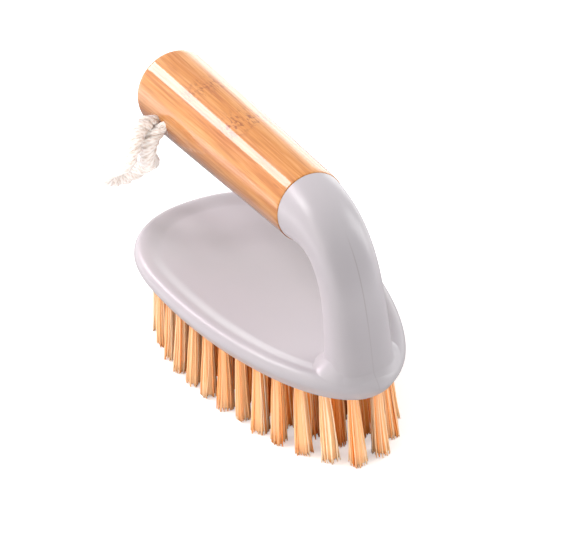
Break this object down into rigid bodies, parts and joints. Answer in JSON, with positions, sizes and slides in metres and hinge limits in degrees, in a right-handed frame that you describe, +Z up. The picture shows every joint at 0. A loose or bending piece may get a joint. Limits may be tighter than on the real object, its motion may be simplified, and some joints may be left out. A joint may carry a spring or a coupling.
{
  "type": "scrub brush",
  "caption": "Hand scrub brush with a flat-iron shaped head, a neck swept back over it, a wooden handle and a rope loop to hang it by.",
  "frame": {"origin": "bottom centre of the bounding box, on the plane the bristle tips stand on", "axes": "+X forward, from the free end of the handle to the pointed front of the head; +Y to the left, across the head; +Z up"},
  "size_m": [0.1494, 0.076, 0.0995],
  "materials": {
    "head_plastic": "satin gloss moulded polypropylene",
    "plate_plastic": "moulded polypropylene",
    "bristle": "stiff plant-coloured filament, cut ends",
    "bamboo": "turned laminated bamboo, clear coated",
    "rope_cotton": "twisted natural cotton",
    "staple_steel": "flat drawn wire",
    "screw_steel": "stainless steel"
  },
  "bodies": {
    "root": {"head_shell": "head_plastic", "bristle_plate": "plate_plastic", "bamboo_handle": "bamboo", "handle_screw": "screw_steel", "rope_loop": "rope_cotton", "outer_tufts": "bristle", "second_tufts": "bristle", "third_tufts": "bristle", "middle_tufts": "bristle", "outer_staples": "staple_steel", "second_staples": "staple_steel", "third_staples": "staple_steel", "middle_staples": "staple_steel"}
  },
  "joints": []
}
